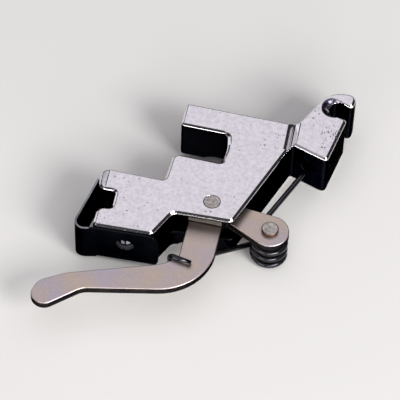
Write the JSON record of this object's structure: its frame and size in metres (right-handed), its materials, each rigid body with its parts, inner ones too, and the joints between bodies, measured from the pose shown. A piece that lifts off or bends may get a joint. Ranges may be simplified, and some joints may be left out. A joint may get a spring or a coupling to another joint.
{
  "type": "presser foot holder",
  "caption": "Presser foot holder for clip-on feet: cast shank with screw slot, guide notch and foot-pin hook, with a sprung release lever and a torsion-wire lock rod.",
  "frame": {"origin": "axis of the foot-pin groove, in the flat back face that the part lies on", "axes": "+Z along the foot-pin groove, the lever's pivot and the clamp screw, out of the front face; +X towards the foot block; +Y towards the hook, which is down in use"},
  "size_m": [0.0331, 0.0376, 0.0066],
  "materials": {
    "cast_chrome": "bright chrome over a die casting, with small pits",
    "lever_nickel": "satin nickel on stamped sheet, warm grey",
    "pin_steel": "matte peened steel",
    "spring_wire": "drawn spring wire, semi-bright",
    "spring_strip": "dark polished spring steel with lighter edges",
    "rivet_chrome": "bright domed rivet"
  },
  "bodies": {
    "holder": {"body": "cast_chrome", "lever_pivot_pin": "pin_steel", "guide_spring": "spring_strip", "guide_spring_rivet": "rivet_chrome"},
    "lever": {"release_lever": "lever_nickel", "ear_pin": "pin_steel"},
    "wire": {"lock_spring": "spring_wire"}
  },
  "joints": [
    {"name": "lever_pivot", "type": "hinge", "parent": "holder", "child": "lever", "pos_m": [-0.01255, -0.0175, 0.0043], "axis": [0, 0, 1], "range_deg": [-13, 0], "stiffness_Nm_per_rad": 0.02, "springref_deg": 57.3},
    {"name": "wire_swing", "type": "hinge", "parent": "lever", "child": "wire", "pos_m": [-0.00517, -0.01916, 0.0034], "axis": [0, 0, 1], "range_deg": [0, 13], "deforming": ["lock_spring"]}
  ],
  "couplings": [
    {"joint": "wire_swing", "follows": "lever_pivot", "ratio": -1}
  ]
}
